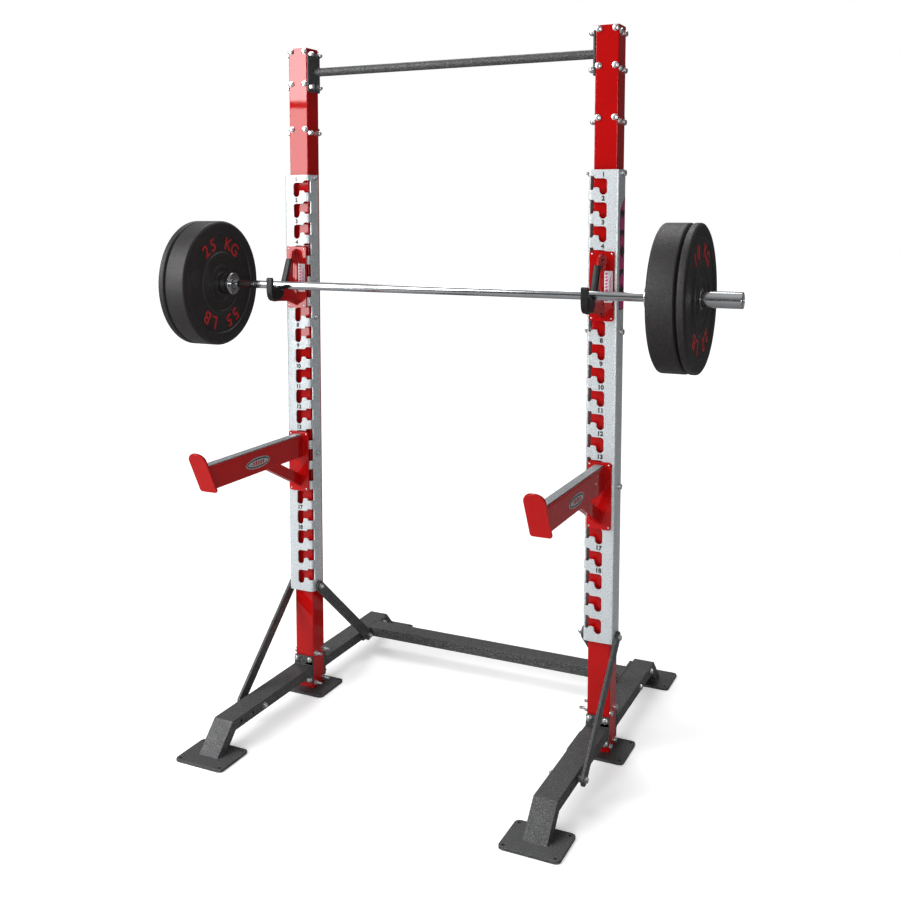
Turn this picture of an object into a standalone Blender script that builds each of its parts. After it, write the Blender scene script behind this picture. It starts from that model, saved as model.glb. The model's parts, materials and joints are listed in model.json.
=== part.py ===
"""Half rack with a loaded barbell: uprights with slotted hook rails, lifting J-cups and safety arms.

Metres, +Z up. X runs along the barbell, the lifter stands at -Y. The origin is on the floor, at the
middle of the object's box. Run it with: blender --background --python part.py
"""
import math

import bmesh
import bpy
from mathutils import Matrix, Vector

# ---------------------------------------------------------------- driving dimensions
GAP = 0.0003                 # clearance between pieces that touch
RACK_X = 0.0126              # the rack's middle plane: the bar sits a little off centre in its cups
HALF_SPACING = 0.569         # middle plane to an upright's axis

TUBE = 0.077                 # square upright
TUBE_WALL = 0.003
TUBE_TOP = 2.374
FOOT_T = 0.010               # foot plates
FOOT_CORNER = 0.014
FOOT_HOLE_R = 0.0055
FOOT_EDGE = 0.015            # foot plate's edge to the middle of its fixing holes
LEG_FOOT = (0.186, 0.157)    # width and length
CENTRE_FOOT = (0.195, 0.167)
POST_TOP = 0.175             # the centre foot's post, inside the upright
RUN_W = 0.0753               # flat runner tube of the legs and the cross-member
RUN_H = 0.0375
RUN_TOP = 0.1004
RUN_WALL = 0.003
FLANGE_T = 0.010
LEG_FLANGE_Z = (0.034, 0.1335)
LEG_BEND_Y = 0.5422          # where the runner turns down at 45 degrees
LEG_FOOT_Y = 0.6187
CROSS_Y = 0.3915             # front face of the cross-member
CROSS_FLANGE_Y = (0.330, 0.524)

PULL_BAR_Z, PULL_BAR_R, PULL_BORE_R = 2.290, 0.015, 0.012
PULL_PLATE_T, PULL_PLATE_HALF = 0.006, 0.040
PULL_PLATE_Z = (2.2190, 2.3595)

SLEEVE_HALF = 0.0517         # slotted C-channel round the upright
SLEEVE_FRONT = -0.0587
SLEEVE_BACK = 0.0085
SLEEVE_T = 0.005
SLEEVE_BEND = 0.013
SLEEVE_Z = (0.3895, 1.9245)

SLOT_COUNT = 20
SLOT_PITCH = 0.0752
SEAT_TOP = 1.8578            # stud centre in the highest slot
SLOT_R = 0.0118              # half width of the slot's drop
STUD_R = 0.0112
STUD_HEAD_R, STUD_HEAD_T = 0.017, 0.006
CUP_SLOTS = (4, 6)           # slots that hold the J-cups' studs, counted from the top
ARM_SLOTS = (13, 15)

HOOK_PLATE = (0.0824, 0.222)  # backing plate of J-cups and arms, width and height
HOOK_T = 0.006
CUP_WEB, CUP_LINER_T = 0.010, 0.008
CUP_WIDTH = 0.025            # the liner, across the web
GUARD_T, GUARD_W = 0.010, 0.024
GUARD_Z = (1.5300, 1.6210)
SHELF_SLOPE = math.radians(17)   # the cup's floor rises towards the lip
GUARD_LEAN = math.radians(23.7)  # the guard leans forward from the top down

BAR_Y, BAR_Z = -0.172, 1.5354
BAR_R = 0.014
COLLAR_IN, COLLAR_R = 0.7546, 0.039
COLLAR_L = 0.050
SLEEVE_R, BAR_HALF = 0.025, 1.039
BORE_R = 0.0185
PLATE_R = 0.225
THICK_PLATE, THIN_PLATE = 0.0855, 0.029

ARM_W, ARM_H, ARM_TOP = 0.040, 0.080, 0.979
ARM_WALL = 0.003
STOP_Y, STOP_Z = -0.6065, 0.889   # front lower edge of the arm's end stop
STOP_LEAN = 0.511            # how far the stop's top leans out, for each metre up
STOP_LENGTH, STOP_HALF, STOP_T = 0.155, 0.033, 0.008
STOP_CORNERS = (0.008, 0.008, 0.028, 0.028)
STRUT_HALF = 0.010
STRUT_Z, STRUT_RISE = (0.787, 0.830), 0.5    # its edges at the backing plate, and its slope
STRIP_W, STRIP_T = 0.029, 0.0035
DRAIN_R = 0.004

BOLT_R, HEAD_R, HEAD_H, NUT_H = 0.005, 0.0108, 0.007, 0.009
BOLT_END = 0.006             # bolt showing past its nut
BOSS_R = 0.010
RAIL_ROWS = (1.9137, 1.410, 0.907, 0.4034)   # the lowest also holds both braces
RAIL_BOLT_Y = -0.022
BRACE_T, BRACE_W = 0.010, 0.040
FRONT_BRACE_Y, REAR_BRACE_Y, CROSS_BOLT_Y = -0.368, 0.352, 0.502
SPARE_HOLES_Y = (-0.430, -0.500)
RUN_MID = RUN_TOP - RUN_H / 2

SIDES = {"left": -1, "right": 1}

# ---------------------------------------------------------------- scene set-up
for old in list(bpy.data.objects):
    bpy.data.objects.remove(old, do_unlink=True)

PARTS = bpy.data.collections.new("half_rack_with_barbell")
CUTTERS = bpy.data.collections.new("cutters")
for coll in (PARTS, CUTTERS):
    bpy.context.scene.collection.children.link(coll)


def material(name, colour, roughness, metallic=0.0):
    mat = bpy.data.materials.new(name)
    mat.use_nodes = True
    shader = mat.node_tree.nodes["Principled BSDF"]
    shader.inputs["Base Color"].default_value = (*colour, 1.0)
    shader.inputs["Roughness"].default_value = roughness
    shader.inputs["Metallic"].default_value = metallic
    return mat


LOOKS = {
    "red": ((0.48, 0.008, 0.008), 0.25, 0.0),
    "charcoal": ((0.045, 0.045, 0.047), 0.6, 0.0),
    "rail": ((0.62, 0.64, 0.65), 0.4, 0.7),
    "zinc": ((0.7, 0.7, 0.7), 0.3, 1.0),
    "black_nylon": ((0.012, 0.012, 0.013), 0.5, 0.0),
    "rubber": ((0.02, 0.019, 0.02), 0.75, 0.0),
    "chrome": ((0.8, 0.8, 0.82), 0.12, 1.0),
    "bronze": ((0.55, 0.36, 0.16), 0.4, 1.0),
}


# ---------------------------------------------------------------- mesh tools
def link(name, mesh, coll=PARTS):
    obj = bpy.data.objects.new(name, mesh)
    coll.objects.link(obj)
    return obj


def take_mesh(obj):
    """The object's evaluated mesh in world space; the object itself is removed."""
    bpy.context.view_layer.update()
    graph = bpy.context.evaluated_depsgraph_get()
    mesh = bpy.data.meshes.new_from_object(obj.evaluated_get(graph))
    mesh.transform(obj.matrix_world)
    bpy.data.objects.remove(obj, do_unlink=True)
    shape = bmesh.new()
    shape.from_mesh(mesh)
    bmesh.ops.remove_doubles(shape, verts=shape.verts, dist=1e-6)
    bmesh.ops.recalc_face_normals(shape, faces=shape.faces)
    shape.to_mesh(mesh)
    shape.free()
    return mesh


def box(low, high, bevel=0.0, edges="Z"):
    """A box between two corners; bevel rounds the edges along one axis."""
    low, high = Vector(low), Vector(high)
    shape = bmesh.new()
    bmesh.ops.create_cube(shape, size=1.0)
    bmesh.ops.scale(shape, vec=high - low, verts=shape.verts)
    bmesh.ops.translate(shape, vec=(low + high) / 2, verts=shape.verts)
    if bevel:
        along = "XYZ".index(edges)
        picked = [e for e in shape.edges
                  if abs((e.verts[0].co - e.verts[1].co)[along]) > 0.5 * (high - low)[along]]
        bmesh.ops.bevel(shape, geom=picked, offset=bevel, segments=2, profile=0.5, affect="EDGES")
    mesh = bpy.data.meshes.new("box")
    shape.to_mesh(mesh)
    shape.free()
    return mesh


AXIS_TURN = {
    "X": Matrix.Rotation(math.pi / 2, 4, "Y"),
    "Y": Matrix.Rotation(-math.pi / 2, 4, "X"),
    "Z": Matrix.Identity(4),
}


def rod(axis, centre, radius, start, end, sides=6):
    """A prism along an axis, from start to end on that axis."""
    shape = bmesh.new()
    bmesh.ops.create_cone(shape, cap_ends=True, segments=sides, radius1=radius, radius2=radius,
                          depth=end - start)
    bmesh.ops.transform(shape, matrix=AXIS_TURN[axis], verts=shape.verts)
    middle = Vector(centre)
    middle["XYZ".index(axis)] = (start + end) / 2
    bmesh.ops.translate(shape, vec=middle, verts=shape.verts)
    mesh = bpy.data.meshes.new("rod")
    shape.to_mesh(mesh)
    shape.free()
    return mesh


PLANES = {                   # local x, local y and thickness axes of a flat outline
    "XZ": Matrix(((1, 0, 0), (0, 0, -1), (0, 1, 0))),
    "YZ": Matrix(((0, 0, 1), (1, 0, 0), (0, 1, 0))),
    "XY": Matrix(((1, 0, 0), (0, 1, 0), (0, 0, 1))),
}


def plate(plane, outline, low, high, holes=()):
    """A flat piece: an outline in a plane, with holes, between two values on the third axis."""
    curve = bpy.data.curves.new("outline", "CURVE")
    curve.dimensions = "2D"
    curve.fill_mode = "BOTH"
    curve.extrude = (high - low) / 2
    for points in (outline, *holes):
        spline = curve.splines.new("POLY")
        spline.points.add(len(points) - 1)
        for point, (u, v) in zip(spline.points, points):
            point.co = (u, v, 0, 1)
        spline.use_cyclic_u = True
    obj = link("outline", curve)
    turn = PLANES[plane].to_4x4()
    depth = Vector((0, 0, 0))
    depth["XYZ".index(({"X", "Y", "Z"} - set(plane)).pop())] = (low + high) / 2
    obj.matrix_world = Matrix.Translation(depth) @ turn
    return take_mesh(obj)


def arc(centre, radius, start, end, steps):
    """Points on an arc, angles in degrees."""
    turns = [math.radians(start + (end - start) * i / steps) for i in range(steps + 1)]
    return [(centre[0] + radius * math.cos(t), centre[1] + radius * math.sin(t)) for t in turns]


def circle(centre, radius, sides=8):
    return arc(centre, radius, 0, 360 - 360 / sides, sides - 1)


def rounded(low, high, radii, steps=3):
    """A rectangle with rounded corners: radii for lower left, lower right, upper right, upper left."""
    (x0, y0), (x1, y1) = low, high
    corners = ((x0, y0, 1, 1, 180), (x1, y0, -1, 1, 270), (x1, y1, -1, -1, 0), (x0, y1, 1, -1, 90))
    points = []
    for (x, y, sx, sy, begin), r in zip(corners, radii):
        points += arc((x + sx * r, y + sy * r), r, begin, begin + 90, steps)
    return points


def turned(profile, steps, centre=(0, 0, 0), flip=False):
    """A profile of (distance along X, radius) turned about an X axis through centre.

    The profile runs round the section with the outer side from high X to low X.
    """
    mesh = bpy.data.meshes.new("profile")
    count = len(profile)
    closed = min(r for _, r in profile) > 0
    edges = [(i, i + 1) for i in range(count - 1)]
    if closed:
        edges.append((count - 1, 0))
    mesh.from_pydata([(r, 0, x) for x, r in profile], edges, [])
    obj = link("profile", mesh)
    screw = obj.modifiers.new("turn", "SCREW")
    screw.steps = screw.render_steps = steps
    screw.use_merge_vertices = True
    screw.merge_threshold = 1e-6
    screw.use_normal_flip = flip
    obj.matrix_world = Matrix.Translation(centre) @ AXIS_TURN["X"]
    return take_mesh(obj)


def merged(meshes):
    """Several meshes as one, still separate bodies."""
    shape = bmesh.new()
    for mesh in meshes:
        shape.from_mesh(mesh)
    mesh = bpy.data.meshes.new("group")
    shape.to_mesh(mesh)
    shape.free()
    return mesh


def mirrored(mesh, about):
    """The mesh mirrored in X about a plane, with its faces still pointing out."""
    copy = mesh.copy()
    copy.transform(Matrix.Translation((2 * about, 0, 0)) @ Matrix.Scale(-1, 4, (1, 0, 0)))
    copy.flip_normals()
    return copy


def solid(name, mesh, look, *steps, origin=(0, 0, 0)):
    """A named part: a mesh with others added to it or cut from it, in the order given.

    A moving part has its origin on its joint's axis.
    """
    mesh.transform(Matrix.Translation(-Vector(origin)))
    obj = link(name, mesh)
    obj.location = origin
    mesh.name = name
    mesh.materials.clear()
    mesh.materials.append(material(name, *LOOKS[look]))
    for index, (kind, tool) in enumerate(steps):
        helper = link(f"{name}_{kind}_{index}", tool, CUTTERS)
        helper.hide_render = True
        helper.display_type = "WIRE"
        step = obj.modifiers.new(f"{kind}_{index}", "BOOLEAN")
        step.operation = {"add": "UNION", "cut": "DIFFERENCE"}[kind]
        step.object = helper
    return obj


def smooth(obj):
    obj.data.shade_smooth()
    obj.data.set_sharp_from_angle(angle=math.radians(30))


# ---------------------------------------------------------------- fasteners
def bolt(name, y, z, head_at, nut_at):
    """A through-bolt along X with its nut run up tight: where the head and the nut bear."""
    way = 1 if nut_at > head_at else -1
    grip = abs(nut_at - head_at) + GAP
    profile = [(-HEAD_H - GAP, 0), (-HEAD_H - GAP, HEAD_R), (-GAP, HEAD_R), (-GAP, BOLT_R),
               (grip, BOLT_R), (grip, HEAD_R), (grip + NUT_H, HEAD_R), (grip + NUT_H, BOLT_R),
               (grip + NUT_H + BOLT_END, BOLT_R), (grip + NUT_H + BOLT_END, 0)]
    mesh = turned(profile, 6, flip=True)
    turn = Matrix.Rotation(0 if way > 0 else math.pi, 4, "Z")
    mesh.transform(Matrix.Translation((head_at, y, z)) @ turn)
    solid(name, mesh, "zinc")


def bolt_hole(y, z, start, end):
    """The clearance hole of a through-bolt along X, six-sided as its shank is."""
    reach = (end - start) / 2
    radius = BOLT_R + 2 * GAP
    profile = [(-reach, 0), (-reach, radius), (reach, radius), (reach, 0)]
    return turned(profile, 6, centre=((start + end) / 2, y, z), flip=True)


def boss(x_from, x_to, y, z):
    """A spacer ring along X, welded to the piece that it holds off."""
    a, b = sorted((x_from, x_to))
    return rod("X", (0, y, z), BOSS_R, a, b, 8)


# ---------------------------------------------------------------- frame
def upright(side, sign):
    x = RACK_X + sign * HALF_SPACING
    half, inner = TUBE / 2, TUBE / 2 - TUBE_WALL
    bottom = FOOT_T + GAP
    body = box((x - half, -half, bottom), (x + half, half, TUBE_TOP), bevel=0.004)
    hollow = box((x - inner, -inner, bottom - 0.01), (x + inner, inner, TUBE_TOP - TUBE_WALL))
    reach = half + 0.01
    holes = [bolt_hole(RAIL_BOLT_Y, z, x - reach, x + reach) for z in RAIL_ROWS]
    solid(f"upright_{side}", body, "red", ("cut", hollow), ("cut", merged(holes)))


def seat(slot):
    """Height of a stud's centre in a slot, counted from 1 at the top."""
    return SEAT_TOP - SLOT_PITCH * (slot - 1)


def slot_outline(x, z, inward):
    """A J-slot: a tall mouth at the inner edge, a level run, a hump and a drop with a round end."""
    run_top, mouth_top, mouth_low, hump = 0.039, 0.0470, 0.003, 0.011
    drop = arc((0, 0), SLOT_R / math.cos(math.pi / 8), -22.5, -157.5, 3)   # half an octagon round the stud
    points = [(SLEEVE_HALF + 0.006, mouth_top), (SLEEVE_HALF + 0.006, mouth_low), (0.0345, mouth_low)]
    points += [(0.0315, 0.0095), (0.0285, hump), (0.0185, hump)]
    points += [(0.0140, 0.0088)] + drop
    points += arc((-SLOT_R + 0.009, run_top - 0.009), 0.009, 180, 90, 2)
    points += [(0.0270, run_top), (0.0320, mouth_top)]
    return [(x + inward * u, z + v) for u, v in points]


def slotted_rail(side, sign):
    """C-channel bent round the front of the upright, cut with twenty J-slots."""
    x = RACK_X + sign * HALF_SPACING
    t, bend = SLEEVE_T, SLEEVE_BEND
    outer = rounded((-SLEEVE_HALF, SLEEVE_FRONT), (SLEEVE_HALF, SLEEVE_BACK + 0.05),
                    (bend,) * 4, 2)
    inner = rounded((-SLEEVE_HALF + t, SLEEVE_FRONT + t), (SLEEVE_HALF - t, SLEEVE_BACK + 0.06),
                    (bend - t,) * 4, 2)
    front_outer = [p for p in outer if p[1] < SLEEVE_BACK]
    front_inner = [p for p in inner if p[1] < SLEEVE_BACK]
    outline = [(-SLEEVE_HALF, SLEEVE_BACK)] + front_outer + [(SLEEVE_HALF, SLEEVE_BACK)]
    outline += [(SLEEVE_HALF - t, SLEEVE_BACK)] + front_inner[::-1] + [(-SLEEVE_HALF + t, SLEEVE_BACK)]
    body = plate("XY", [(x + u, v) for u, v in outline], *SLEEVE_Z)
    slots = [plate("XZ", slot_outline(x, seat(n), -sign), SLEEVE_FRONT - 0.01, -0.0420)
             for n in range(1, SLOT_COUNT + 1)]
    reach = SLEEVE_HALF + 0.01
    holes = [bolt_hole(RAIL_BOLT_Y, z, x - reach, x + reach) for z in RAIL_ROWS]
    bosses = [boss(x + s * (TUBE / 2 + GAP), x + s * (SLEEVE_HALF - t / 2), RAIL_BOLT_Y, z)
              for z in RAIL_ROWS for s in (-1, 1)]
    solid(f"slotted_rail_{side}", body, "rail", ("add", merged(bosses)), ("cut", merged(slots)),
          ("cut", merged(holes)))


def mitred_strip(path, half):
    """Outline of a strip of even width along a bent path of points."""
    sides = ([], [])
    for index, point in enumerate(path):
        here = Vector(point)
        before = (here - Vector(path[index - 1])).normalized() if index else None
        after = (Vector(path[index + 1]) - here).normalized() if index + 1 < len(path) else None
        way = ((before or after) + (after or before)).normalized()
        normal = Vector((-way.y, way.x))
        reach = half / abs(way.dot(after or before))
        sides[0].append(tuple(here + normal * reach))
        sides[1].append(tuple(here - normal * reach))
    return sides[0] + sides[1][::-1]


def foot_plate(x, y, size):
    """A foot plate on the floor, with rounded corners and four fixing holes."""
    half_x, half_y = size[0] / 2, size[1] / 2
    outline = rounded((x - half_x, y - half_y), (x + half_x, y + half_y), (FOOT_CORNER,) * 4, 2)
    holes = [circle((x + sx * (half_x - FOOT_EDGE), y + sy * (half_y - FOOT_EDGE)), FOOT_HOLE_R)
             for sx in (-1, 1) for sy in (-1, 1)]
    return plate("XY", outline, 0.0, FOOT_T, holes)


def leg(name, sign, toward, bolt_places):
    """A leg: flange on the upright, flat runner, sloped end and foot plate, welded into one."""
    x = RACK_X + sign * HALF_SPACING
    face = TUBE / 2 + GAP
    drop = 0.12                                     # the sloped end runs on below the foot, to be cut
    path = [(face + FLANGE_T / 2, RUN_MID), (LEG_BEND_Y, RUN_MID), (LEG_BEND_Y + drop, RUN_MID - drop)]
    half = RUN_W / 2

    def side_view(points):
        return [(toward * u, v) for u, v in points]

    runner = plate("YZ", side_view(mitred_strip(path, RUN_H / 2)), x - half, x + half)
    inner_path = [(face + FLANGE_T - RUN_WALL, RUN_MID)] + path[1:]
    hollow = plate("YZ", side_view(mitred_strip(inner_path, RUN_H / 2 - RUN_WALL)),
                   x - half + RUN_WALL, x + half - RUN_WALL)
    below = box((x - 0.2, -1.0, -0.2), (x + 0.2, 1.0, FOOT_T - 0.002))
    spans = sorted((toward * face, toward * (face + FLANGE_T)))
    flange = box((x - TUBE / 2, spans[0], LEG_FLANGE_Z[0]), (x + TUBE / 2, spans[1], LEG_FLANGE_Z[1]))
    foot = foot_plate(x, toward * LEG_FOOT_Y, LEG_FOOT)
    bolts = [bolt_hole(toward * abs(y), RUN_MID, x - half - 0.01, x + half + 0.01) for y in bolt_places]
    solid(name, runner, "charcoal", ("cut", hollow), ("cut", below), ("add", flange), ("add", foot),
          ("cut", merged(bolts)))


def centre_foot(side, sign):
    """Foot plate under the upright, with the inner post that the upright is bolted to."""
    x = RACK_X + sign * HALF_SPACING
    foot = foot_plate(x, 0.0, CENTRE_FOOT)
    post_half = TUBE / 2 - TUBE_WALL - GAP
    post = box((x - post_half, -post_half, FOOT_T - 0.002), (x + post_half, post_half, POST_TOP))
    inner = post_half - 0.004
    hollow = box((x - inner, -inner, FOOT_T + 0.001), (x + inner, inner, POST_TOP + 0.01))
    solid(f"centre_foot_{side}", foot, "charcoal", ("add", post), ("cut", hollow))


def cross_member():
    """Flat tube between the rear legs, with a bolted flange at each end."""
    face = HALF_SPACING - RUN_W / 2 - GAP
    low = RUN_TOP - RUN_H
    y0, y1 = CROSS_Y, CROSS_Y + RUN_W
    tube = box((RACK_X - face, y0, low), (RACK_X + face, y1, RUN_TOP))
    hollow = box((RACK_X - face + FLANGE_T, y0 + RUN_WALL, low + RUN_WALL),
                 (RACK_X + face - FLANGE_T, y1 - RUN_WALL, RUN_TOP - RUN_WALL))
    drain = rod("Z", (RACK_X, (y0 + y1) / 2, 0), DRAIN_R, low - 0.01, low + 0.01, 8)
    ends, holes = [], []
    for sign in SIDES.values():
        a, b = sorted((RACK_X + sign * face, RACK_X + sign * (face - FLANGE_T)))
        ends.append(box((a, CROSS_FLANGE_Y[0], low), (b, CROSS_FLANGE_Y[1], RUN_TOP)))
        holes += [bolt_hole(y, RUN_MID, a - 0.01, b + 0.01) for y in (REAR_BRACE_Y, CROSS_BOLT_Y)]
    solid("cross_member", tube, "charcoal", ("add", merged(ends)), ("cut", hollow),
          ("cut", merged(holes + [drain])))


def pull_up_bar():
    """Round bar welded through two end plates, bolted between the uprights."""
    face = HALF_SPACING - TUBE / 2 - GAP
    bar = rod("X", (0, 0, PULL_BAR_Z), PULL_BAR_R, RACK_X - face, RACK_X + face, 20)
    bore = rod("X", (0, 0, PULL_BAR_Z), PULL_BORE_R, RACK_X - face - 0.01, RACK_X + face + 0.01, 16)
    ends = []
    for sign in SIDES.values():
        a, b = sorted((RACK_X + sign * face, RACK_X + sign * (face - PULL_PLATE_T)))
        ends.append(box((a, -PULL_PLATE_HALF, PULL_PLATE_Z[0]), (b, PULL_PLATE_HALF, PULL_PLATE_Z[1]),
                        bevel=0.005, edges="X"))
    solid("pull_up_bar", bar, "charcoal", ("add", merged(ends)), ("cut", bore))


def brace(name, near, far, foot_y, leg_face):
    """Flat bar with round ends, from the rail's lowest bolt down to a leg, and its welded spacer."""
    top, low = Vector((RAIL_BOLT_Y, RAIL_ROWS[3])), Vector((foot_y, RUN_MID))
    way = (top - low).normalized()
    heading = math.degrees(math.atan2(way.y, way.x))
    outline = arc(top, BRACE_W / 2, heading + 90, heading - 90, 6)
    outline += arc(low, BRACE_W / 2, heading - 90, heading - 270, 6)
    strip = plate("YZ", outline, min(near, far), max(near, far))
    spacer = boss(leg_face, (near + far) / 2, *low)
    ends = sorted((leg_face, far))
    holes = [bolt_hole(*p, ends[0] - 0.01, ends[1] + 0.01) for p in (top, low)]
    solid(name, strip, "charcoal", ("add", spacer), ("cut", merged(holes)))


def braces(side, sign):
    """The outer front brace and the inner rear brace of one upright, and the bolts of both."""
    x = RACK_X + sign * HALF_SPACING
    near, leg_half = SLEEVE_HALF + GAP, RUN_W / 2
    far = near + BRACE_T
    flange_face = leg_half + GAP + FLANGE_T
    brace(f"front_brace_{side}", x + sign * near, x + sign * far, FRONT_BRACE_Y,
          x + sign * (leg_half + GAP))
    brace(f"rear_brace_{side}", x - sign * near, x - sign * far, REAR_BRACE_Y,
          x - sign * (flange_face + GAP))
    bolt(f"brace_top_bolt_{side}", RAIL_BOLT_Y, RAIL_ROWS[3], x + sign * far, x - sign * far)
    bolt(f"front_brace_bolt_{side}", FRONT_BRACE_Y, RUN_MID, x + sign * far, x - sign * leg_half)
    bolt(f"rear_brace_bolt_{side}", REAR_BRACE_Y, RUN_MID, x + sign * leg_half, x - sign * far)
    bolt(f"cross_member_bolt_{side}", CROSS_BOLT_Y, RUN_MID, x + sign * leg_half,
         x - sign * flange_face)
    for index, z in enumerate(RAIL_ROWS[:3], 1):
        bolt(f"rail_bolt_{side}_{index}", RAIL_BOLT_Y, z, x + sign * SLEEVE_HALF, x - sign * SLEEVE_HALF)


# ---------------------------------------------------------------- J-cups and safety arms
def backing_plate(x, slots):
    """Plate that lies on the rail, and the headed studs on its back that drop into two slots."""
    middle = (seat(slots[0]) + seat(slots[1])) / 2
    w, h = HOOK_PLATE[0] / 2, HOOK_PLATE[1] / 2
    back = SLEEVE_FRONT - GAP
    body = plate("XZ", rounded((x - w, middle - h), (x + w, middle + h), (0.008,) * 4, 2),
                 back - HOOK_T, back)
    neck = SLEEVE_FRONT + SLEEVE_T + 0.0008         # where the head starts, just behind the rail's plate
    tip = neck + STUD_HEAD_T
    profile = [(back - HOOK_T / 2, 0), (back - HOOK_T / 2, STUD_R), (neck, STUD_R), (neck, STUD_HEAD_R),
               (tip, STUD_HEAD_R), (tip, 0)]
    studs = []
    for n in slots:
        mesh = turned(profile, 16, flip=True)
        mesh.transform(Matrix.Translation((x, 0, seat(n))) @ Matrix.Rotation(math.pi / 2, 4, "Z"))
        studs.append(mesh)
    return body, merged(studs)


def shelf_z(y):
    """Height of the cup's floor, which the bar touches from above."""
    return BAR_Z - (BAR_R + GAP) / math.cos(SHELF_SLOPE) - math.tan(SHELF_SLOPE) * (y - BAR_Y)


def guard_y(z, offset=0.0):
    """Front face of the guard, which the bar touches from the front; offset goes backwards."""
    return BAR_Y + (BAR_R + GAP + offset) / math.cos(GUARD_LEAN) + math.tan(GUARD_LEAN) * (z - BAR_Z)


def web_window():
    """Outline of the opening in a J-cup's web: a round head above and a point below."""
    back, front, tip = -0.0690, -0.0940, (-0.0770, 1.4995)
    head = arc((-0.0815, 1.6010), 0.0125, 0, 180, 4)
    return [(back, 1.5140), *head, (front, 1.5200), tip]


def j_cup(side, sign):
    """Hook of the rack: a steel web on a backing plate, a nylon liner over its hook, and a guard behind."""
    x = RACK_X + sign * HALF_SPACING
    origin = (x, SLEEVE_FRONT, seat(CUP_SLOTS[1]))
    body, studs = backing_plate(x, CUP_SLOTS)
    front = SLEEVE_FRONT - GAP - HOOK_T
    half = CUP_WEB / 2
    guard_low, guard_high = GUARD_Z

    # the web: up behind the guard, forward under the bar and up into the lip
    outline = [(front + 0.002, 1.4560), (-0.1270, 1.4755), (-0.180, 1.4790)]
    outline += arc((-0.2050, 1.5050), 0.0265, 250, 190, 4)
    outline += [(-0.2330, shelf_z(-0.2330) - CUP_LINER_T)]
    outline += [(guard_y(1.512, GUARD_T + GAP) - 0.001, shelf_z(guard_y(1.512, GUARD_T)) - CUP_LINER_T)]
    outline += [(guard_y(z, GUARD_T + GAP), z) for z in (guard_high, guard_high + 0.008)]
    outline += [(-0.1020, 1.6410), (-0.0960, 1.6510), (-0.0830, 1.6565), (front + 0.002, 1.6600)]
    web_plate = plate("YZ", outline, x - half, x + half, [web_window()])
    solid(f"jcup_bracket_{side}", body, "red", ("add", studs), ("add", web_plate), origin=origin)

    # the guard: a padded strip along the web's front edge
    guard = [(guard_y(z, back), z) for z, back in ((guard_low, 0), (guard_low, GUARD_T),
                                                    (guard_high + 0.002, GUARD_T), (guard_high + 0.006, 0.004),
                                                    (guard_high + 0.004, 0))]
    strip = plate("YZ", guard, x - GUARD_W / 2, x + GUARD_W / 2)
    solid(f"jcup_guard_{side}", strip, "black_nylon", origin=origin)

    # the liner: saddle over the hook with a floor, two cheeks and the lip
    top_back = guard_y(1.515) - 0.0012
    saddle = [(top_back, shelf_z(top_back)), (-0.2290, shelf_z(-0.2290)), (-0.2300, 1.5560)]
    saddle += arc((-0.2362, 1.5590), 0.0063, 0, 180, 6)
    saddle += [(-0.2425, 1.5150)] + arc((-0.2120, 1.5100), 0.0285, 190, 250, 4)
    saddle += [(-0.1900, 1.4835), (-0.1830, 1.4880), (top_back, 1.5000)]
    groove = [(y, shelf_z(y) - CUP_LINER_T + 2 * GAP) for y in (top_back + 0.02, -0.2340)]
    groove += arc((-0.2050, 1.5050), 0.0275, 190, 250, 4) + [(-0.2144, 1.40), (top_back + 0.02, 1.40)]
    liner = plate("YZ", saddle, x - CUP_WIDTH / 2, x + CUP_WIDTH / 2)
    slot = plate("YZ", groove, x - half - GAP, x + half + GAP)
    solid(f"jcup_liner_{side}", liner, "black_nylon", ("cut", slot), origin=origin)


def stop_y(z, behind=0.0):
    """The end stop's front face at a height, or the plane at a depth behind that face."""
    return STOP_Y - STOP_LEAN * (z - STOP_Z) + behind * math.hypot(1, STOP_LEAN)


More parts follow.
